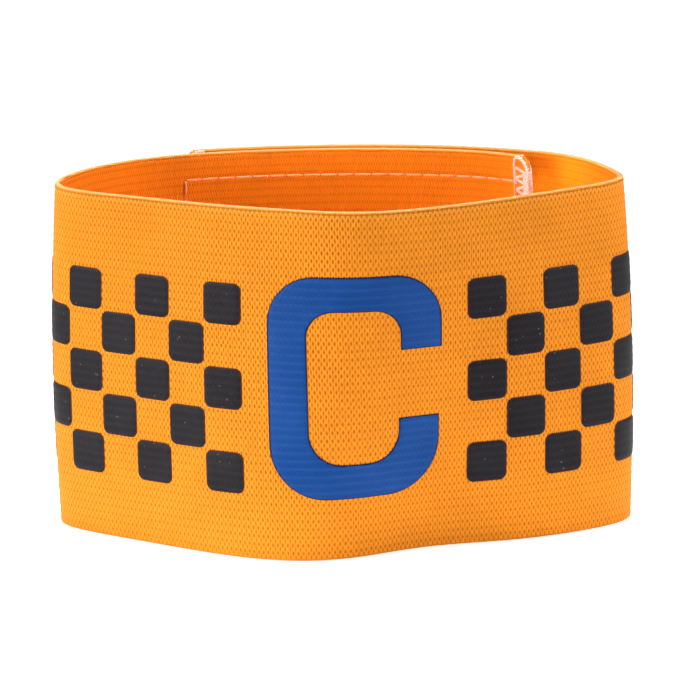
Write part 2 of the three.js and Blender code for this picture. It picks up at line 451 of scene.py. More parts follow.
def read_mark(mesh, name):
    """The values that a mesh's points carry under a name."""
    values = np.empty(len(mesh.vertices), np.float32)
    mesh.attributes[name].data.foreach_get("value", values)
    return values.astype(float)


def write_mark(mesh, name, values):
    """Gives each of a mesh's points a value of its own, for the materials."""
    mark = mesh.attributes.new(name, "FLOAT", "POINT")
    mark.data.foreach_set("value", values.astype(np.float32))


def write_map(mesh, flat):
    """Lays the strip's own map over a mesh: metres along the strip, and metres up it."""
    corners = np.empty(len(mesh.loops), np.int32)
    mesh.loops.foreach_get("vertex_index", corners)
    layer = mesh.uv_layers.new(name=STRIP_MAP)
    layer.data.foreach_set("uv", flat[corners][:, [0, 2]].astype(np.float32).ravel())


def mesh_of(name, bm):
    """A closed mesh of what was drawn, with its faces pointing out."""
    bmesh.ops.recalc_face_normals(bm, faces=bm.faces[:])
    mesh = bpy.data.meshes.new(name)
    bm.to_mesh(mesh)
    bm.free()
    return mesh


def place_piece(mesh, material, sharp_angle=60):
    """Puts a finished mesh on the armband."""
    mesh.materials.append(material)
    mesh.shade_smooth()
    mesh.set_sharp_from_angle(angle=math.radians(sharp_angle))
    piece = bpy.data.objects.new(mesh.name, mesh)
    bpy.context.scene.collection.objects.link(piece)
    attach(piece, "root")
    return piece


def unit_slab(columns, rows, layers):
    """A slab one unit long, thick and high round the origin, with divided faces."""
    bm = bmesh.new()
    bmesh.ops.create_grid(bm, x_segments=columns, y_segments=rows, size=0.5)
    bmesh.ops.solidify(bm, geom=bm.faces[:], thickness=1.0)
    through = [
        edge
        for edge in bm.edges
        if abs(edge.verts[0].co.z - edge.verts[1].co.z) > 0.5
    ]
    bmesh.ops.subdivide_edges(bm, edges=through, cuts=layers - 1, use_grid_fill=True)
    middle = sum((vert.co.z for vert in bm.verts), 0.0) / len(bm.verts)
    bmesh.ops.translate(bm, verts=bm.verts[:], vec=(0, 0, -middle))
    upright = Matrix.Rotation(math.radians(90), 3, "X")
    bmesh.ops.rotate(bm, verts=bm.verts[:], cent=(0, 0, 0), matrix=upright)
    return bm


def unit_tube(steps, sides, length_on_map):
    """A closed tube of radius one along x, from 0 to 1, mapped along and round."""
    bm = bmesh.new()
    bmesh.ops.create_grid(bm, x_segments=steps, y_segments=sides, size=0.5)
    layer = bm.loops.layers.uv.new(STRIP_MAP)
    for face in bm.faces:
        for corner in face.loops:
            spot = corner.vert.co
            corner[layer].uv = ((spot.x + 0.5) * length_on_map, spot.y + 0.5)
    for vert in bm.verts:
        angle = 2 * math.pi * vert.co.y
        vert.co = (vert.co.x + 0.5, math.cos(angle), math.sin(angle))
    bmesh.ops.remove_doubles(bm, verts=bm.verts[:], dist=1e-5)
    rims = [edge for edge in bm.edges if edge.is_boundary]
    bmesh.ops.holes_fill(bm, edges=rims, sides=sides)
    return bm


class Nodes:
    """Adds nodes to a tree, each joined to what it is given."""

    def __init__(self, tree):
        self.tree = tree

    def give(self, socket, value):
        """Joins a socket to another, or gives it a value."""
        if isinstance(value, bpy.types.NodeSocket):
            self.tree.links.new(value, socket)
        else:
            socket.default_value = value

    def add(self, kind, inputs=(), **settings):
        """A node with its settings and inputs."""
        node = self.tree.nodes.new(kind)
        for name, value in settings.items():
            setattr(node, name, value)
        for name, value in dict(inputs).items():
            self.give(node.inputs[name], value)
        return node

    def math(self, operation, *values):
        """The result of an operation on one to three values."""
        node = self.add("ShaderNodeMath", operation=operation)
        for socket, value in zip(node.inputs, values):
            self.give(socket, value)
        return node.outputs["Value"]

    def ramp(self, value, low, high, to_low=0.0, to_high=1.0):
        """A smooth step from to_low at low to to_high at high."""
        inputs = {
            "Value": value,
            "From Min": low,
            "From Max": high,
            "To Min": to_low,
            "To Max": to_high,
        }
        node = self.add("ShaderNodeMapRange", inputs, interpolation_type="SMOOTHSTEP")
        return node.outputs["Result"]

    def blend(self, factor, first, second, how="MIX"):
        """A mix of two colours."""
        node = self.add("ShaderNodeMix", data_type="RGBA", blend_type=how)
        colours = [socket for socket in node.inputs if socket.type == "RGBA"]
        self.give(node.inputs[0], factor)
        self.give(colours[0], first)
        self.give(colours[1], second)
        return next(socket for socket in node.outputs if socket.type == "RGBA")

    def tint(self, factor, colour, tint):
        """A colour under a share of a tint."""
        return self.blend(factor, colour, rgba(tint), how="MULTIPLY")

    def noise(self, vector, size, detail=2.0):
        """A noise whose features are about size wide, from 0 to 1."""
        inputs = {"Vector": vector, "Scale": 1 / size, "Detail": detail}
        return self.add("ShaderNodeTexNoise", inputs).outputs["Fac"]

    def strip_map(self):
        """Where a point lies along and up the strip."""
        return self.add("ShaderNodeUVMap", uv_map=STRIP_MAP).outputs["UV"]

    def mark(self, name):
        """The value that a mesh's points carry under a name."""
        return self.add("ShaderNodeAttribute", attribute_name=name).outputs["Fac"]

    def split(self, vector):
        """The first two parts of a vector."""
        node = self.add("ShaderNodeSeparateXYZ", {"Vector": vector})
        return node.outputs["X"], node.outputs["Y"]

    def stretch(self, vector, scale):
        """A vector times a scale for each axis."""
        inputs = {0: vector, 1: scale}
        node = self.add("ShaderNodeVectorMath", inputs, operation="MULTIPLY")
        return node.outputs["Vector"]


def new_group(name, values, results):
    """A node group that reads a Surface vector and named values, and its nodes."""
    group = bpy.data.node_groups.new(name, "ShaderNodeTree")
    group.interface.new_socket("Surface", in_out="INPUT", socket_type="NodeSocketVector")
    for value, default in values.items():
        socket = group.interface.new_socket(
            value, in_out="INPUT", socket_type="NodeSocketFloat"
        )
        socket.default_value = default
    for result in results:
        group.interface.new_socket(result, in_out="OUTPUT", socket_type="NodeSocketFloat")
    nodes = Nodes(group)
    given = nodes.add("NodeGroupInput").outputs
    taken = nodes.add("NodeGroupOutput").inputs
    return group, nodes, given, taken


def uneven_map(nodes, surface):
    """Along and up the strip, moved a little to and fro as a real knit wanders."""
    waves_a_metre = 140.0
    swing = (0.5 * MM, 0.3 * MM, 0.0)
    inputs = {"Vector": surface, "Scale": waves_a_metre, "Detail": 2.0}
    wander = nodes.add("ShaderNodeTexNoise", inputs)
    inputs = {0: wander.outputs["Color"], 1: (0.5, 0.5, 0.5)}
    centred = nodes.add("ShaderNodeVectorMath", inputs, operation="SUBTRACT")
    inputs = {0: centred.outputs["Vector"], 1: swing, 2: surface}
    moved = nodes.add("ShaderNodeVectorMath", inputs, operation="MULTIPLY_ADD")
    return nodes.split(moved.outputs["Vector"])


def rim_rows(nodes, wales, into):
    """The slots below the rim's yarn, and the arches below them, at depths into the knit."""
    slots_a_wale = 2
    lean = 0.5 / MM
    slanted = nodes.math("MULTIPLY_ADD", into, lean, wales)
    turns = nodes.math("MULTIPLY", slanted, slots_a_wale * 2 * math.pi)
    slotted = nodes.ramp(nodes.math("COSINE", turns), -1.0, 0.4, 0.35, 1.0)
    below_bead = nodes.ramp(into, 0.4 * MM, 0.5 * MM)
    above_arches = nodes.ramp(into, 0.84 * MM, 0.7 * MM)
    slot = nodes.math("MULTIPLY", slotted, nodes.math("MULTIPLY", below_bead, above_arches))

    arch_crown = 0.95 * MM
    arch_height = 0.5 * MM
    scallop = nodes.math("ABSOLUTE", nodes.math("SINE", nodes.math("MULTIPLY", wales, math.pi)))
    arch_line = nodes.math("MULTIPLY_ADD", scallop, arch_height, arch_crown)
    off_arch = nodes.math("ABSOLUTE", nodes.math("SUBTRACT", into, arch_line))
    return slot, nodes.ramp(off_arch, 0.36 * MM, 0.06 * MM)


def knit_group():
    """Pairs of yarns that sway apart round staggered gaps, with a slotted row below the rim."""
    sizes = {"Wale": 1.0 * MM, "Row": 0.8 * MM, "Height": 70 * MM}
    results = ("Yarn", "Gap", "Slot", "Arch", "Crest", "Tone")
    group, nodes, given, taken = new_group("knit", sizes, results)
    along, up = uneven_map(nodes, given["Surface"])
    wales = nodes.math("DIVIDE", along, given["Wale"])
    rows = nodes.math("DIVIDE", up, given["Row"])
    into = nodes.math("SUBTRACT", given["Height"], up)

    sway_share = 0.27
    half_wales = nodes.math("MULTIPLY", wales, 2.0)
    yarn_index = nodes.math("FLOOR", half_wales)
    across = nodes.math("SUBTRACT", nodes.math("FRACT", half_wales), 0.5)
    side = nodes.math("COSINE", nodes.math("MULTIPLY", yarn_index, math.pi))
    swing = nodes.math("COSINE", nodes.math("MULTIPLY", rows, math.pi))
    sway = nodes.math("MULTIPLY", nodes.math("MULTIPLY", side, swing), sway_share)
    off_yarn = nodes.math("ABSOLUTE", nodes.math("SUBTRACT", across, sway))
    crest = nodes.ramp(swing, 1.0, -1.0)

    cell = nodes.add("ShaderNodeCombineXYZ")
    nodes.give(cell.inputs["X"], nodes.math("FLOOR", wales))
    nodes.give(cell.inputs["Y"], nodes.math("FLOOR", rows))
    chance = nodes.add("ShaderNodeTexWhiteNoise", {"Vector": cell.outputs["Vector"]})
    depth = nodes.math("MULTIPLY_ADD", chance.outputs["Value"], 0.4, 0.75)
    depth = nodes.math("MULTIPLY", depth, nodes.math("MULTIPLY_ADD", crest, -0.35, 1.0))
    below_rim = nodes.ramp(into, 1.2 * MM, 1.8 * MM)
    above_foot = nodes.ramp(up, 0.3 * MM, 0.7 * MM)
    gap = nodes.math("MULTIPLY", nodes.ramp(off_yarn, 0.48, 0.67), depth)
    gap = nodes.math("MULTIPLY", gap, nodes.math("MULTIPLY", below_rim, above_foot))

    slot, arch = rim_rows(nodes, wales, into)
    for result, value in (
        ("Yarn", nodes.ramp(off_yarn, 0.55, 0.05)),
        ("Gap", gap),
        ("Slot", slot),
        ("Arch", arch),
        ("Crest", crest),
        ("Tone", nodes.noise(given["Surface"], 12 * MM, 3.0)),
    ):
        nodes.give(taken[result], value)
    return group


def twist_group():
    """Plies that wind round a thread. Its surface is mapped along in metres, and round in turns."""
    group, nodes, given, taken = new_group("twist", {"Lay": 1.2 * MM, "Plies": 2.0}, ("Ply",))
    along, around = nodes.split(given["Surface"])
    wound = nodes.math("ADD", nodes.math("DIVIDE", along, given["Lay"]), around)
    turns = nodes.math("MULTIPLY", nodes.math("MULTIPLY", wound, given["Plies"]), math.pi)
    nodes.give(taken["Ply"], nodes.math("ABSOLUTE", nodes.math("SINE", turns)))
    return group


def wear_group():
    """Fine grain, pale specks and light scratches of a pressed film."""
    group, nodes, given, taken = new_group("film wear", {}, ("Grain", "Speck", "Scratch"))
    surface = given["Surface"]
    specks_a_metre = 700.0
    cells = nodes.add("ShaderNodeTexVoronoi", {"Vector": surface, "Scale": specks_a_metre})
    dots = nodes.ramp(cells.outputs["Distance"], 0.16, 0.06)
    rare = nodes.ramp(nodes.noise(surface, 3 * MM), 0.5, 0.62)
    streaks = nodes.noise(nodes.stretch(surface, (0.12, 1.0, 1.0)), 0.5 * MM, 3.0)
    patches = nodes.ramp(nodes.noise(surface, 9 * MM), 0.45, 0.7)
    nodes.give(taken["Grain"], nodes.noise(surface, 0.4 * MM, 4.0))
    nodes.give(taken["Speck"], nodes.math("MULTIPLY", dots, rare))
    scratch = nodes.math("MULTIPLY", nodes.ramp(streaks, 0.6, 0.72), patches)
    nodes.give(taken["Scratch"], scratch)
    return group


def add_group(nodes, name, make, inputs):
    """The outputs of a shared node group, which is made the first time that it is asked for."""
    tree = bpy.data.node_groups.get(name) or make()
    return nodes.add("ShaderNodeGroup", inputs, node_tree=tree).outputs


def new_material(name):
    """A material, its nodes and its shader."""
    material = bpy.data.materials.new(name)
    material.use_nodes = True
    shader = material.node_tree.nodes["Principled BSDF"]
    return material, Nodes(material.node_tree), shader


def add_bump(nodes, shader, height, depth):
    """Relief of a height from 0 to 1 that is depth metres deep."""
    inputs = {"Height": height, "Distance": depth, "Strength": 1.0}
    bump = nodes.add("ShaderNodeBump", inputs)
    nodes.give(shader.inputs["Normal"], bump.outputs["Normal"])


def rgba(linear):
    """An opaque colour."""
    return (*linear, 1.0)


def add_knit(nodes, surface, wale, strip, knit):
    """The knit group on a surface, with the webbing's own sizes."""
    inputs = {
        "Surface": surface,
        "Wale": wale,
        "Row": strip.height / knit.ribs / 2,
        "Height": strip.height,
    }
    return add_group(nodes, "knit", knit_group, inputs)


def webbing_material(strip, knit):
    """Knitted yarn, finer on the inner face, with painted light: a deeper, brighter orange on the
    inner face for the light bounced inside the loop, and painted shade between the yarns, in the
    gaps and slots and in the grooves between the ribs.
    """
    material, nodes, shader = new_material("elastic webbing")
    surface = nodes.strip_map()
    inner = nodes.mark(INNER_MARK)
    wale = nodes.ramp(inner, 0.4, 0.6, knit.wale, knit.inner_wale)
    knitted = add_knit(nodes, surface, wale, strip, knit)
    fibre = nodes.noise(nodes.stretch(surface, (1.0, 0.35, 1.0)), 0.12 * MM, 3.0)

    arch_share = 0.6
    arches = nodes.math("MULTIPLY", knitted["Arch"], nodes.math("SUBTRACT", 1.0, inner))
    # Painted light: the inner face gets a deeper, brighter orange for the light bounced between the
    # loop's orange walls
    body = nodes.blend(inner, rgba(knit.yarn), rgba(knit.inner_bounce_yarn))
    body = nodes.blend(nodes.math("MULTIPLY", arches, arch_share), body, rgba(knit.arch))

    # Painted shade: the valleys between the yarns and the gaps are darkened, less on the inner
    # face, and the slots below the rim too
    depth = nodes.ramp(inner, 0.0, 1.0, 1.0, 0.55)
    valley_shade = nodes.math("MULTIPLY", nodes.ramp(knitted["Yarn"], 0.8, 0.0, 0.0, 0.7), depth)
    body = nodes.tint(valley_shade, body, knit.gap)
    body = nodes.tint(nodes.math("MULTIPLY", knitted["Gap"], depth), body, knit.gap)
    body = nodes.tint(knitted["Slot"], body, knit.slot)

    # A random tone and the fibres' grain, with painted shade: darker in the grooves between the
    # ribs, lighter on their crests
    tone = nodes.ramp(knitted["Tone"], 0.3, 0.7, 0.95, 1.03)
    tone_and_rib_shade = nodes.math("MULTIPLY", tone, nodes.ramp(knitted["Crest"], 0.0, 1.0, 0.97, 1.06))
    shade = nodes.math("MULTIPLY", tone_and_rib_shade, nodes.ramp(fibre, 0.25, 0.75, 0.93, 1.05))
    grey = nodes.add("ShaderNodeCombineColor", {"Red": shade, "Green": shade, "Blue": shade})
    body = nodes.blend(1.0, body, grey.outputs["Color"], how="MULTIPLY")
    nodes.give(shader.inputs["Base Color"], body)
    nodes.give(shader.inputs["Roughness"], nodes.ramp(knitted["Yarn"], 0.0, 1.0, 0.95, 0.72))
    shader.inputs["Specular IOR Level"].default_value = 0.12

    relief = nodes.math("SUBTRACT", knitted["Yarn"], nodes.math("MULTIPLY", knitted["Gap"], 0.6))
    relief = nodes.math("MULTIPLY_ADD", knitted["Arch"], 0.5, relief)
    relief = nodes.math("SUBTRACT", relief, knitted["Slot"])
    relief = nodes.math("MULTIPLY_ADD", fibre, 0.15, relief)
    add_bump(nodes, shader, relief, 0.1 * MM)
    return material


def yarn_material(name, tint, lay, roughness):
    """A yarn or thread of two plies that turn once in each lay."""
    material, nodes, shader = new_material(name)
    inputs = {"Surface": nodes.strip_map(), "Lay": lay, "Plies": 2.0}
    ply = add_group(nodes, "twist", twist_group, inputs)["Ply"]
    place = nodes.add("ShaderNodeTexCoord").outputs["Object"]
    fibre = nodes.noise(place, 0.15 * MM, 3.0)
    shadow = rgba([part * part * 0.8 for part in tint])
    body = nodes.blend(nodes.ramp(ply, 0.0, 0.6), shadow, rgba(tint))
    nodes.give(shader.inputs["Base Color"], body)
    nodes.give(shader.inputs["Roughness"], nodes.ramp(fibre, 0.2, 0.8, roughness, 0.9))
    shader.inputs["Specular IOR Level"].default_value = 0.15
    add_bump(nodes, shader, nodes.math("MULTIPLY_ADD", fibre, 0.25, ply), 0.09 * MM)
    return material


def film_material(name, tint, edge_shade, strip, knit, specks):
    """A satin film pressed over the knit, with a share of pale specks, a painted sheen and painted
    highlights along its rib crests, and painted shade along its edge.
    """
    material, nodes, shader = new_material(name)
    surface = nodes.strip_map()
    knitted = add_knit(nodes, surface, knit.wale, strip, knit)
    wear = add_group(nodes, "film wear", wear_group, {"Surface": surface})

    # Painted light: the film runs from a darker to a paler copy of its colour, paler in random
    # patches as a painted sheen and in streaks along the rib crests as painted highlights. The
    # paler copy also colours the scratches.
    low = rgba([part * 0.8 for part in tint])
    pale = rgba([min(1.0, part * 1.5 + 0.012) for part in tint])
    speck = rgba((0.2, 0.16, 0.14))
    crest_highlight_share = 0.32
    light = nodes.ramp(knitted["Tone"], 0.35, 0.7, 0.0, 0.16)
    highlight_streak = nodes.noise(nodes.stretch(surface, (0.05, 1.0, 1.0)), 0.6 * MM, 2.0)
    line = nodes.math("MULTIPLY", nodes.ramp(knitted["Crest"], 0.5, 1.0), highlight_streak)
    light = nodes.math("MULTIPLY_ADD", line, crest_highlight_share, light)
    # Painted shade along the film's edge, where it meets the knit
    edge = nodes.ramp(nodes.mark(EDGE_MARK), 0.35, 0.75)
    body = nodes.blend(light, low, pale)
    body = nodes.blend(nodes.math("MULTIPLY", wear["Scratch"], 0.35), body, pale)
    body = nodes.blend(nodes.math("MULTIPLY", wear["Speck"], specks), body, speck)
    body = nodes.blend(edge, body, rgba(edge_shade))
    nodes.give(shader.inputs["Base Color"], body)

    rough = nodes.math("MULTIPLY_ADD", wear["Grain"], 0.25, 0.42)
    rough = nodes.math("MULTIPLY_ADD", wear["Scratch"], 0.2, rough)
    nodes.give(shader.inputs["Roughness"], rough)
    shader.inputs["Specular IOR Level"].default_value = 0.07
    relief = nodes.math("MULTIPLY_ADD", wear["Grain"], 0.5, knitted["Yarn"])
    add_bump(nodes, shader, relief, 0.025 * MM)
    return material


def pile_material(name, tint, size, depth):
    """A nap of small loops or hooks, each about size wide."""
    material, nodes, shader = new_material(name)
    surface = nodes.strip_map()
    cells = nodes.add("ShaderNodeTexVoronoi", {"Vector": surface, "Scale": 1 / size})
    nap = nodes.ramp(cells.outputs["Distance"], 0.6, 0.05)
    fuzz = nodes.noise(surface, size / 3, 4.0)
    shadow = rgba([part * 0.45 for part in tint])
    fluff = rgba((1.0, 0.5, 0.16))
    body = nodes.blend(nodes.ramp(nap, 0.0, 0.8), shadow, rgba(tint))
    body = nodes.blend(nodes.ramp(fuzz, 0.45, 0.8, 0.0, 0.4), body, fluff)
    nodes.give(shader.inputs["Base Color"], body)
    nodes.give(shader.inputs["Roughness"], nodes.ramp(nap, 0.0, 1.0, 1.0, 0.75))
    shader.inputs["Specular IOR Level"].default_value = 0.2
    shader.inputs["Sheen Weight"].default_value = 0.2
    add_bump(nodes, shader, nodes.math("MULTIPLY_ADD", fuzz, 0.6, nap), depth)
    return material


def lit_material(name, tint, glow):
    """An even surface that is lit from behind."""
    material, nodes, shader = new_material(name)
    mottle = nodes.noise(nodes.add("ShaderNodeTexCoord").outputs["Object"], 0.4, 2.0)
    dim = rgba([part * 0.985 for part in tint])
    nodes.give(shader.inputs["Base Color"], nodes.blend(mottle, dim, rgba(tint)))
    shader.inputs["Roughness"].default_value = 0.9
    shader.inputs["Specular IOR Level"].default_value = 0.1
    shader.inputs["Emission Color"].default_value = (1, 1, 1, 1)
    shader.inputs["Emission Strength"].default_value = glow
    return material


def webbing_mesh(strip, knit):
    """The elastic strip with its ribs, thinner towards both rims."""
    columns = round(strip.strip_length / knit.column_step)
    rows = FACETS_A_RIB * knit.ribs
    layers = 3
    mesh = mesh_of("elastic_webbing", unit_slab(columns, rows, layers))
    unit = read_points(mesh)
    up = (unit[:, 2] + 0.5) * strip.height
    into = np.minimum(up, strip.height - up)
    along = cut_back(unit[:, 0] * strip.strip_length - strip.letter_offset, up, strip)
    taper = smooth_step(into, -0.5 * knit.bead_rise, 2.2 * knit.bead_rise)
    ribs = rib_height(up, strip, knit) * smooth_step(into, 0, 2.5 * knit.bead_rise)
    from_end = strip.strip_length * (0.5 - np.abs(unit[:, 0]))
    pressed = 0.7 + 0.3 * smooth_step(from_end, 0, 1.5 * MM)
    half_wall = ((0.55 + 0.45 * taper) * strip.wall / 2 + ribs) * pressed
    sunk = np.where(into < 1e-6, 0.6 * knit.bead_rise, 0.0)
    up = np.clip(up, sunk, strip.height - sunk)
    flat = np.column_stack((along, 2 * unit[:, 1] * half_wall, up))
    write_map(mesh, flat)
    write_mark(mesh, INNER_MARK, unit[:, 1] + 0.5)
    return mesh, flat


def edge_yarn_mesh(name, middle, strip, knit):
    """The yarn that winds along an edge of the knit and closes it, at a height on the strip."""
    facets_a_turn = 4
    sides = 6
    steps = round(strip.strip_length / knit.bead_pitch * facets_a_turn)
    mesh = mesh_of(name, unit_tube(steps, sides, strip.strip_length))
    unit = read_points(mesh)
    along = (unit[:, 0] - 0.5) * strip.strip_length - strip.letter_offset
    around = np.arctan2(unit[:, 2], unit[:, 1])
    swell = 1 + 0.12 * np.cos(2 * math.pi * along / knit.bead_pitch + around)
    up = middle + unit[:, 2] * knit.bead_rise * 0.86 * swell
    along = cut_back(along, np.full(len(unit), middle), strip)
    flat = np.column_stack((along, unit[:, 1] * knit.bead * swell, up))
    return mesh, flat


def patch_mesh(name, start, length, side, strip, closure):
    """A patch of the closure, on the strip's outer face for side 1 and its inner for -1."""
    height = strip.height - 2 * closure.hem
    columns = round(length / closure.facet)
    rows = round(height / closure.facet)
    mesh = mesh_of(name, unit_slab(columns, rows, layers=3))
    unit = read_points(mesh)
    along = start + (unit[:, 0] + 0.5) * length
    up = closure.hem + (unit[:, 2] + 0.5) * height
    inner = strip.wall / 2
    outer = strip.wall / 2 + closure.clearance + closure.thickness
    lift = 0.5 - side * unit[:, 1]
    from_edge = np.minimum(
        (0.5 - np.abs(unit[:, 0])) * length, (0.5 - np.abs(unit[:, 2])) * height
    )
    rounded = 0.72 + 0.28 * smooth_step(from_edge, 0, 1.2 * MM)
    nap_height = 0.06 * MM
    across_waves = np.sin(along * 9000)
    upward_waves = np.sin(up * 8000 + 3 * np.sin(along * 2100))
    nap = nap_height * across_waves * upward_waves
    reach = inner + lift * ((outer - inner) * rounded + nap)
    flat = np.column_stack((along, -side * reach, up))
    write_map(mesh, flat)
    return mesh, flat


def quarter_arc(x, z, radius, quarter, steps, way=1):
    """Points of a quarter of a circle that starts at a quarter turn and goes the given way."""
    angles = [(quarter + way * step / steps) * math.pi / 2 for step in range(steps + 1)]
    return [(x + radius * math.cos(a), z + radius * math.sin(a)) for a in angles]


def letter_outline(low, film):
    """The rank letter's outline, its foot at the height low on the strip."""
    left = -film.letter_width / 2
    right = film.letter_width / 2
    lower_right = right - film.lower_arm_step
    opening_left = left + film.stem
    opening_right = right - film.arm
    lower_opening = lower_right - film.arm
    top = low + film.letter_height
    inner_top = film.inner_top_radius
    inner_foot = film.inner_foot_radius
    inner_top_centre = top - film.bar - inner_top
    inner_foot_centre = low + film.bar + inner_foot
    steps = 24
    points = [(opening_right, top - film.upper_arm), (right, top - film.upper_arm)]
    for x, z, radius, quarter in (
        (right - film.top_radius, top - film.top_radius, film.top_radius, 0),
        (left + film.top_radius, top - film.top_radius, film.top_radius, 1),
        (left + film.foot_radius, low + film.foot_radius, film.foot_radius, 2),
        (lower_right - film.foot_radius, low + film.foot_radius, film.foot_radius, 3),
    ):
        points += quarter_arc(x, z, radius, quarter, steps)
    points += [(lower_right, low + film.lower_arm), (lower_opening, low + film.lower_arm)]
    for x, z, radius, quarter in (
        (lower_opening - inner_foot, inner_foot_centre, inner_foot, 4),
        (opening_left + inner_foot, inner_foot_centre, inner_foot, 3),
        (opening_left + inner_top, inner_top_centre, inner_top, 2),
        (opening_right - inner_top, inner_top_centre, inner_top, 1),
    ):
        points += quarter_arc(x, z, radius, quarter, steps, way=-1)
    return points


def check_outline(left, low, film):
    """A check with rounded corners, its lower left corner's square at (left, low)."""
    near = film.check_radius
    far = film.check - film.check_radius
    points = []
    for quarter, (x, z) in enumerate(((far, far), (near, far), (near, near), (far, near))):
        points += quarter_arc(left + x, low + z, film.check_radius, quarter, steps=8)
    return points


def bitten_outline(points, film, knit):
    """An outline with even facets, with the knit's teeth in its upward edges."""
    corners = np.array([*points, points[0]])
    lengths = np.linalg.norm(np.diff(corners, axis=0), axis=1)
    reached = np.concatenate(([0.0], np.cumsum(lengths)))
    count = round(reached[-1] / film.outline_step)
    at = np.linspace(0, reached[-1], count, endpoint=False)
    even = np.column_stack([np.interp(at, reached, corners[:, k]) for k in range(2)])
    way = np.roll(even, -1, axis=0) - np.roll(even, 1, axis=0)
    upward = np.clip(-way[:, 0] / np.linalg.norm(way, axis=1), 0, 1)
    wave = 0.5 - 0.5 * np.cos(4 * math.pi * even[:, 0] / knit.wale)
    even[:, 1] -= film.tooth * smooth_step(upward, 0.3, 0.8) * wave
    return even


def slice_at(bm, places, normal):
    """Cuts every face where a plane across that direction stands."""
    for place in places:
        bmesh.ops.bisect_plane(
            bm,
            geom=bm.verts[:] + bm.edges[:] + bm.faces[:],
            dist=1e-7,
            plane_co=Vector(normal) * place,
            plane_no=normal,
        )


def edge_share(points, outline, reach):
    """How near flat points are to a closed outline: 1 on it, and 0 from reach away."""
    gap = np.full(len(points), np.inf)
    for start, end in zip(outline, np.roll(outline, -1, axis=0)):
        run = end - start
        share = np.clip((points - start) @ run / (run @ run), 0, 1)
        nearest = start + share[:, None] * run
        gap = np.minimum(gap, np.linalg.norm(points - nearest, axis=1))
    return np.clip(1 - gap / reach, 0, 1)


def film_mesh(name, outline, strip, knit, film):
    """A film from its flat outline, which follows the ribs that it is pressed over."""
    even = bitten_outline(outline, film, knit)
    bm = bmesh.new()
    lift_mark = bm.verts.layers.float.new(LIFT_MARK)
    rim = [bm.verts.new((x, 0, z)) for x, z in even]
    face = bm.faces.new(rim)
    bmesh.ops.inset_region(
        bm, faces=[face], thickness=film.border, use_boundary=True, use_even_offset=True
    )
    low, high = even.min(axis=0), even.max(axis=0)
    facet = strip.height / knit.ribs / FACETS_A_RIB
    column = 2 * facet
    columns = np.arange(math.ceil(low[0] / column), high[0] / column) * column
    rows = np.arange(math.ceil(low[1] / facet), high[1] / facet) * facet
    slice_at(bm, columns, (1, 0, 0))
    slice_at(bm, rows, (0, 0, 1))
    lifted = bmesh.ops.extrude_face_region(bm, geom=bm.faces[:], use_keep_orig=True)
    for part in lifted["geom"]:
        if isinstance(part, bmesh.types.BMVert):
            part[lift_mark] = 1.0
            part.co.y -= film.thickness
    mesh = mesh_of(name, bm)
    flat = read_points(mesh)
    edge = edge_share(flat[:, (0, 2)], even, film.border)
    write_mark(mesh, EDGE_MARK, edge)
    lift = read_mark(mesh, LIFT_MARK)
    ribs = rib_height(flat[:, 2], strip, knit)
    sunk = 0.05 * MM
    thinned = 0.65
    evened = 0.35
    over = (1 - thinned * edge) * film.thickness - evened * (1 - edge) * ribs
    flat[:, 1] = -(strip.wall / 2 + ribs + np.where(lift > 0.5, over, -sunk))
    write_map(mesh, flat)
    return mesh, flat


def thread_template(radius, length, arch, steps=10, sides=8):
    """One span of thread from x = 0 to x = 1, which dives into the cloth at both ends."""
    bm = unit_tube(steps, sides, length)
    for vert in bm.verts:
        share = 2 * vert.co.x - 1
        slim = radius * math.sqrt(max(0.12, 1 - 0.85 * share**6))
        crown = arch * (1 - share**4) - 0.6 * radius * abs(share) ** 8
        vert.co.y = vert.co.y * slim - crown
        vert.co.z *= slim
    mesh = bpy.data.meshes.new("thread span")
    bm.to_mesh(mesh)
    bm.free()
    return mesh


def add_span(bm, template, start, end, inward):
    """Lays a span of thread between two points of the flat strip, with its belly turned out."""
    first = len(bm.verts)
    bm.from_mesh(template)
    bm.verts.ensure_lookup_table()
    run = end - start
    turned = Matrix((run, inward, run.normalized().cross(inward))).transposed().to_4x4()
    moved = Matrix.Translation(start) @ turned
    bmesh.ops.transform(bm, matrix=moved, verts=bm.verts[first:])


def add_face_span(bm, template, start, end, reach, side):
    """Lays a span of thread on a face of the flat strip. Start and end are along and up."""
    depth = -side * reach
    first = Vector((start[0], depth, start[1]))
    last = Vector((end[0], depth, end[1]))
    add_span(bm, template, first, last, Vector((0, side, 0)))


def running_stitches(start, end, sewing):
    """Even stitches between two places on the strip, with a needle's gap between them."""
    start, end = Vector(start), Vector(end)
    run = end - start
    count = max(1, round(run.length / sewing.pitch))
    step = run / count
    share = sewing.stitch / sewing.pitch
    stitches = []
    for k in range(count):
        first = start + step * (k + (1 - share) / 2)
        stitches.append((first, first + step * share))
    return stitches


def rectangle_stitches(left, right, strip, closure, sewing):
    """Four rows of stitches just inside the outline of a patch from left to right."""
    foot = closure.hem + sewing.inset
    top = strip.height - foot
    corners = ((left, foot), (left, top), (right, top), (right, foot))
    stitches = []
    for first, second in zip(corners, (*corners[1:], corners[0])):
        stitches += running_stitches(first, second, sewing)
    return stitches


def stitching_mesh(name, stitches, faces, sewing):
    """Stitches that show on each of the faces, given as the reach from the wall and the side."""
    template = thread_template(sewing.thread, sewing.stitch, 0.8 * sewing.thread)
    bm = bmesh.new()
    for reach, side in faces:
        for start, end in stitches:
            add_face_span(bm, template, start, end, reach, side)
    bpy.data.meshes.remove(template)
    mesh = mesh_of(name, bm)
    return mesh, read_points(mesh)


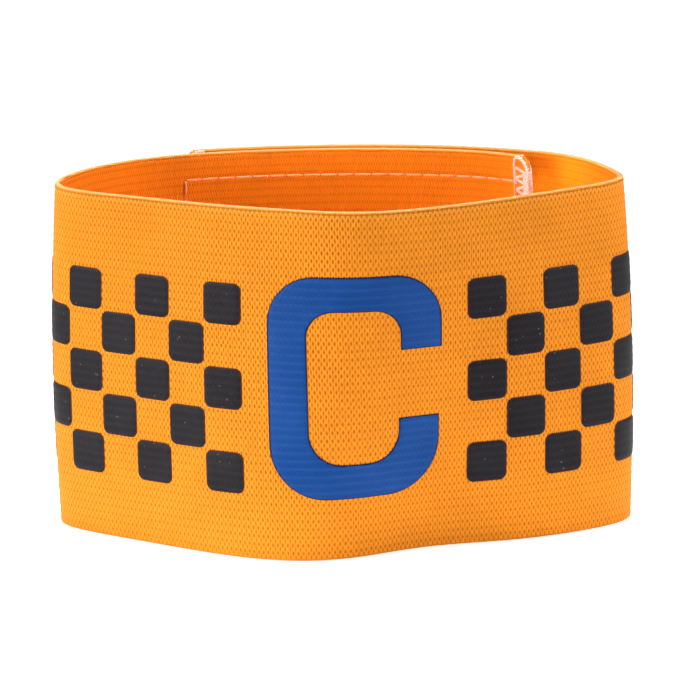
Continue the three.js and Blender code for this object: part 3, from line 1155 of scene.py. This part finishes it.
def chain_links(points, sewing):
    """Overlapping slanted links of thread along a line of places on the strip."""
    slant_share = 0.22
    line = np.array(points)
    lengths = np.linalg.norm(np.diff(line, axis=0), axis=1)
    reached = np.concatenate(([0.0], np.cumsum(lengths)))
    count = round(reached[-1] / (0.55 * sewing.link))
    links = []
    for k in range(count):
        at = reached[-1] * (k + 0.5) / count
        spots = [
            np.array([np.interp(at + way * sewing.link / 2, reached, line[:, j]) for j in (0, 1)])
            for way in (-1, 1)
        ]
        run = spots[1] - spots[0]
        slant = np.array((-run[1], run[0])) * slant_share
        links.append((spots[0] - slant, spots[1] + slant))
    return links


def binding_mesh(name, end, strip, sewing):
    """The zigzag that binds a cut end, on both faces: end is -1 inside the loop, 1 outside."""
    inner_end, outer_end = cut_ends(strip)
    cut = outer_end if end > 0 else inner_end
    outer = cut - end * sewing.cut_gap
    inner = outer - end * sewing.zigzag_width
    short_start = outer - end * 0.4 * sewing.zigzag_width
    foot = sewing.binding_hem
    top = strip.height - foot
    corner = strip.corner
    bend = 0.35 * corner
    hoop = [
        (inner, foot),
        (inner, top - 0.2 * corner),
        (inner + end * 0.2 * corner, top),
        (outer - end * corner, top),
        (outer - end * bend, top - bend),
        (outer, top - corner),
        (outer, foot + corner),
        (outer - end * bend, foot + bend),
        (outer - end * corner, foot),
    ]
    pitch = sewing.zigzag_pitch
    short_rise = 0.3 * pitch
    arm = Vector((sewing.zigzag_width, pitch / 2)).length
    arm_template = thread_template(1.35 * sewing.thread, arm, 1.2 * sewing.thread)
    link_template = thread_template(
        1.25 * sewing.thread, sewing.link, 0.9 * sewing.thread, steps=6, sides=6
    )
    reach = 0.36 * strip.wall
    bm = bmesh.new()

    inward = Vector((-end, 0, 0))
    turn_pitch = 0.4 * pitch
    turns = round((top - corner - foot - corner) / turn_pitch)
    for k in range(turns):
        low = foot + corner + turn_pitch * k
        for away in (-1, 1):
            first = Vector((cut, away * reach, low))
            last = Vector((cut, -away * reach, low + 0.25 * pitch))
            add_span(bm, link_template, first, last, inward)

    zigzags = round((top - foot - corner) / pitch)
    for side in (-1, 1):
        for start, stop in chain_links(hoop, sewing):
            add_face_span(bm, link_template, start, stop, reach, side)
        for k in range(zigzags):
            low = foot + k * pitch
            middle = low + pitch / 2
            high = low + pitch
            spans = [
                (arm_template, (inner, low), (outer, middle)),
                (arm_template, (outer, middle), (inner, high)),
                (link_template, (short_start, low), (outer, low + short_rise)),
            ]
            if k > 0:
                spans.append((link_template, (short_start, low), (outer, low - short_rise)))
            for template, start, stop in spans:
                add_face_span(bm, template, start, stop, reach, side)

    bpy.data.meshes.remove(arm_template)
    bpy.data.meshes.remove(link_template)
    mesh = mesh_of(name, bm)
    return mesh, read_points(mesh)


def lay(mesh, flat, context):
    """Wraps a flat mesh into the loop."""
    scene = context.scene
    wrap = Wrap(scene.armband_strip, scene.armband_closure)
    write_points(mesh, wrap.wrap(flat))
    return mesh


class ARMBAND_OT_webbing(bpy.types.Operator):
    """Build the elastic webbing and the yarn along its rims"""

    bl_idname = "armband.webbing"
    bl_label = "Webbing"

    def execute(self, context):
        strip = context.scene.armband_strip
        knit = context.scene.armband_knit
        mesh, flat = webbing_mesh(strip, knit)
        cloth = webbing_material(strip, knit)
        webbing = place_piece(lay(mesh, flat, context), cloth)
        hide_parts("elastic_band")
        for name, middle, tint in (
            ("rim_yarn", strip.height - knit.bead_rise, knit.rim),
            ("foot_yarn", knit.bead_rise, knit.arch),
        ):
            mesh, flat = edge_yarn_mesh(name, middle, strip, knit)
            yarn = yarn_material(name, tint, 2 * knit.bead_pitch, roughness=0.7)
            place_piece(lay(mesh, flat, context), yarn)
        return {"FINISHED"}


class ARMBAND_OT_closure(bpy.types.Operator):
    """Build the patches of loops and hooks between the two layers"""

    bl_idname = "armband.closure"
    bl_label = "Closure"

    def execute(self, context):
        strip = context.scene.armband_strip
        closure = context.scene.armband_closure
        inner_end, outer_end = cut_ends(strip)
        loop_start = inner_end + closure.inset
        hook_start = outer_end - closure.inset - closure.hook_length
        pile = pile_material("loop pile", closure.pile, size=0.5 * MM, depth=0.25 * MM)
        hooks = pile_material("hook tape", closure.hooks, size=0.9 * MM, depth=0.35 * MM)
        for name, node, start, length, side, nap, slot in (
            ("loop_pile", "loop_patch", loop_start, closure.loop_length, 1, pile, "loop_pile"),
            ("hook_tape", "hook_patch", hook_start, closure.hook_length, -1, hooks, "hook_tape"),
        ):
            mesh, flat = patch_mesh(name, start, length, side, strip, closure)
            piece = place_piece(lay(mesh, flat, context), nap)
            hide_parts(node)
        return {"FINISHED"}


class ARMBAND_OT_letter(bpy.types.Operator):
    """Build the rank letter of blue film"""

    bl_idname = "armband.letter"
    bl_label = "Letter"

    def execute(self, context):
        strip = context.scene.armband_strip
        knit = context.scene.armband_knit
        film = context.scene.armband_film
        low = (strip.height - film.letter_height) / 2 - film.letter_drop
        outline = letter_outline(low, film)
        mesh, flat = film_mesh("letter_film", outline, strip, knit, film)
        blue = film_material("blue film", film.blue, film.blue_edge_shade, strip, knit, specks=0.05)
        piece = place_piece(lay(mesh, flat, context), blue)
        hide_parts("captain_letter")
        return {"FINISHED"}


class ARMBAND_OT_checks(bpy.types.Operator):
    bl_idname = "armband.checks"
    bl_label = "Checks"

    def execute(self, context):
        strip = context.scene.armband_strip
        knit = context.scene.armband_knit
        film = context.scene.armband_film
        black = film_material("black film", film.black, film.black_edge_shade, strip, knit, specks=0.4)
        names = [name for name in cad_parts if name.startswith("check_")]
        rows = max(int(name.split("_")[3]) for name in names)
        foot = (strip.height - rows * film.check) / 2 - film.check_drop
        start = film.letter_width / 2 + film.check_space
        directions = {"left": -1, "right": 1}
        for name in sorted(names):
            _, side, column, row = name.split("_")
            middle = directions[side] * (start + (int(column) - 0.5) * film.check)
            low = foot + (int(row) - 1) * film.check
            outline = check_outline(middle - film.check / 2, low, film)
            mesh, flat = film_mesh(f"film_{name}", outline, strip, knit, film)
            piece = place_piece(lay(mesh, flat, context), black)
            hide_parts(name)
        return {"FINISHED"}


class ARMBAND_OT_sewing(bpy.types.Operator):
    """Sew the closure's patches on, and bind the two cut ends"""

    bl_idname = "armband.sewing"
    bl_label = "Sewing"

    def execute(self, context):
        strip = context.scene.armband_strip
        closure = context.scene.armband_closure
        sewing = context.scene.armband_sewing
        seam = yarn_material("seam thread", sewing.seam, sewing.lay, roughness=0.55)
        pink = yarn_material("pink thread", sewing.pink, sewing.lay, roughness=0.55)
        inner_end, outer_end = cut_ends(strip)
        bare = strip.wall / 2
        napped = bare + closure.clearance + closure.thickness
        binding = sewing.zigzag_width + sewing.cut_gap
        loop_rows = rectangle_stitches(
            inner_end + binding,
            inner_end + closure.inset + closure.loop_length - sewing.inset,
            strip,
            closure,
            sewing,
        )
        hook_rows = rectangle_stitches(
            outer_end - closure.inset - closure.hook_length + sewing.inset,
            outer_end - binding,
            strip,
            closure,
            sewing,
        )
        loop_faces = ((bare, -1), (napped, 1))
        hook_faces = ((bare, 1), (napped, -1))
        for (mesh, flat), thread in (
            (stitching_mesh("loop_stitches", loop_rows, loop_faces, sewing), seam),
            (stitching_mesh("hook_stitches", hook_rows, hook_faces, sewing), seam),
            (binding_mesh("inner_end_binding", -1, strip, sewing), pink),
            (binding_mesh("outer_end_binding", 1, strip, sewing), pink),
        ):
            place_piece(lay(mesh, flat, context), thread)
        return {"FINISHED"}


class ARMBAND_OT_stage(bpy.types.Operator):
    """Set the camera, the lights and the floor"""

    bl_idname = "armband.stage"
    bl_label = "Stage"

    def execute(self, context):
        stage = context.scene.armband_stage
        add_camera(context.scene, stage)
        add_floor(context.scene, stage)
        for light in LIGHTS:
            add_light(context.scene, light)
        add_surroundings(context.scene, stage)
        context.scene.view_settings.view_transform = "Standard"
        return {"FINISHED"}


def add_camera(scene, stage):
    """The camera that the photo was taken with."""
    camera = bpy.data.cameras.new("camera")
    camera.lens = stage.lens
    camera.sensor_width = 36
    camera.clip_end = 100
    eye = bpy.data.objects.new("camera", camera)
    scene.collection.objects.link(eye)
    back = Vector((0, -math.cos(stage.elevation), math.sin(stage.elevation)))
    upward = Vector((0, math.sin(stage.elevation), math.cos(stage.elevation)))
    sideways = Vector((1, 0, 0))
    right = math.cos(stage.roll) * sideways - math.sin(stage.roll) * upward
    above = math.sin(stage.roll) * sideways + math.cos(stage.roll) * upward
    turned = Matrix((right, above, back)).transposed().to_4x4()
    eye.matrix_world = (
        Matrix.Translation(Vector(stage.look_at) + back * stage.camera_distance) @ turned
    )
    scene.camera = eye


def add_floor(scene, stage):
    """A wide floor, just under the lower rim."""
    bm = bmesh.new()
    bmesh.ops.create_grid(bm, x_segments=8, y_segments=8, size=8)
    bmesh.ops.translate(bm, verts=bm.verts[:], vec=(0, 0, -0.1 * MM))
    mesh = mesh_of("floor", bm)
    mesh.materials.append(lit_material("pale floor", stage.floor, stage.floor_glow))
    floor = bpy.data.objects.new("floor", mesh)
    scene.collection.objects.link(floor)


def add_light(scene, row):
    """A square light, as a row of the lights says."""
    light = bpy.data.lights.new(row["name"], "AREA")
    light.size = row["size"]
    light.spread = math.radians(row["spread"])
    light.energy = row["power"]
    lamp = bpy.data.objects.new(row["name"], light)
    scene.collection.objects.link(lamp)
    lamp.location = row["place"]
    way = Vector(row["target"]) - lamp.location
    lamp.rotation_euler = way.to_track_quat("-Z", "Y").to_euler()


def add_surroundings(scene, stage):
    """An even white light from all round."""
    world = bpy.data.worlds.new("surroundings")
    world.use_nodes = True
    background = world.node_tree.nodes["Background"]
    background.inputs["Color"].default_value = (1, 1, 1, 1)
    background.inputs["Strength"].default_value = stage.surroundings
    scene.world = world


SETTINGS = {
    "armband_strip": ArmbandStrip,
    "armband_knit": ArmbandKnit,
    "armband_closure": ArmbandClosure,
    "armband_film": ArmbandFilm,
    "armband_sewing": ArmbandSewing,
    "armband_stage": ArmbandStage,
}

OPERATORS = (
    ARMBAND_OT_stage,
    ARMBAND_OT_webbing,
    ARMBAND_OT_closure,
    ARMBAND_OT_letter,
    ARMBAND_OT_checks,
    ARMBAND_OT_sewing,
)


class ARMBAND_PT_panel(bpy.types.Panel):
    """Sizes, colours and steps of the armband"""

    bl_label = "Captain Armband"
    bl_idname = "ARMBAND_PT_panel"
    bl_space_type = "VIEW_3D"
    bl_region_type = "UI"
    bl_category = "Armband"

    def draw(self, context):
        for attribute, settings in SETTINGS.items():
            box = self.layout.box()
            box.label(text=settings.__name__.removeprefix("Armband"))
            for name in settings.__annotations__:
                box.prop(getattr(context.scene, attribute), name)
        for operator in OPERATORS:
            self.layout.operator(operator.bl_idname)


def register():
    for owner in (*SETTINGS.values(), *OPERATORS, ARMBAND_PT_panel):
        bpy.utils.register_class(owner)
    for attribute, settings in SETTINGS.items():
        setattr(bpy.types.Scene, attribute, bpy.props.PointerProperty(type=settings))


def unregister():
    for attribute in SETTINGS:
        delattr(bpy.types.Scene, attribute)
    for owner in (ARMBAND_PT_panel, *reversed(OPERATORS), *SETTINGS.values()):
        bpy.utils.unregister_class(owner)


def main():
    register()
    bpy.ops.armband.stage()
    bpy.ops.armband.webbing()
    bpy.ops.armband.closure()
    bpy.ops.armband.letter()
    bpy.ops.armband.checks()
    bpy.ops.armband.sewing()


if __name__ == "__main__":
    main()
